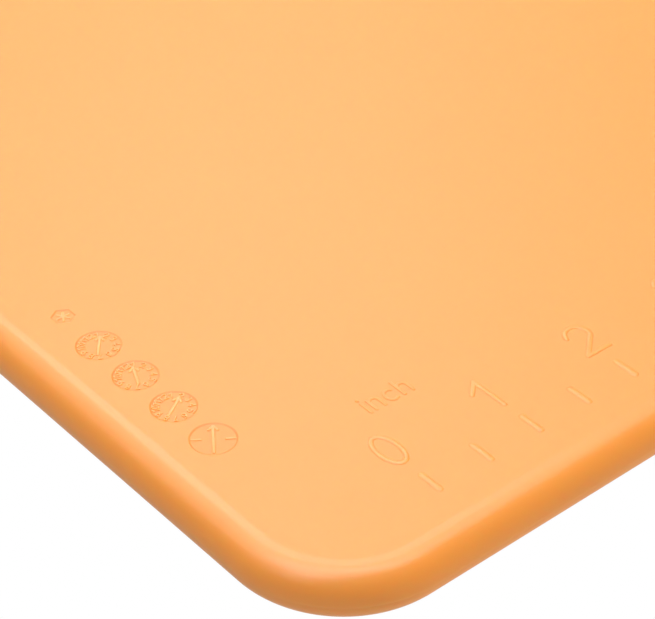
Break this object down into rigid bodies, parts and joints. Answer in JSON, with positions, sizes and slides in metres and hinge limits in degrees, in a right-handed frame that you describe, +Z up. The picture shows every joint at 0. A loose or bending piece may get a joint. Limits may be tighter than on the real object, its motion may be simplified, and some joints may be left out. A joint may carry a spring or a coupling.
{
  "type": "cutting board",
  "caption": "Rounded rectangular plastic work board with a fully round edge, a raised inch scale along one edge and soft non-slip feet.",
  "frame": {"origin": "under the middle of the board, on the surface that its feet stand on", "axes": "+X along the edge that carries the scale, from zero towards the high end; +Y from that edge into the board; +Z up through the marked face"},
  "size_m": [0.381, 0.2794, 0.0119],
  "materials": {
    "orange_plastic": "slightly translucent orange, fine spark-eroded texture on the faces, smooth satin rim",
    "foot_rubber": "matt soft rubber"
  },
  "bodies": {
    "root": {"board": "orange_plastic", "foot_front_left": "foot_rubber", "foot_front_right": "foot_rubber", "foot_back_left": "foot_rubber", "foot_back_right": "foot_rubber"}
  },
  "joints": []
}
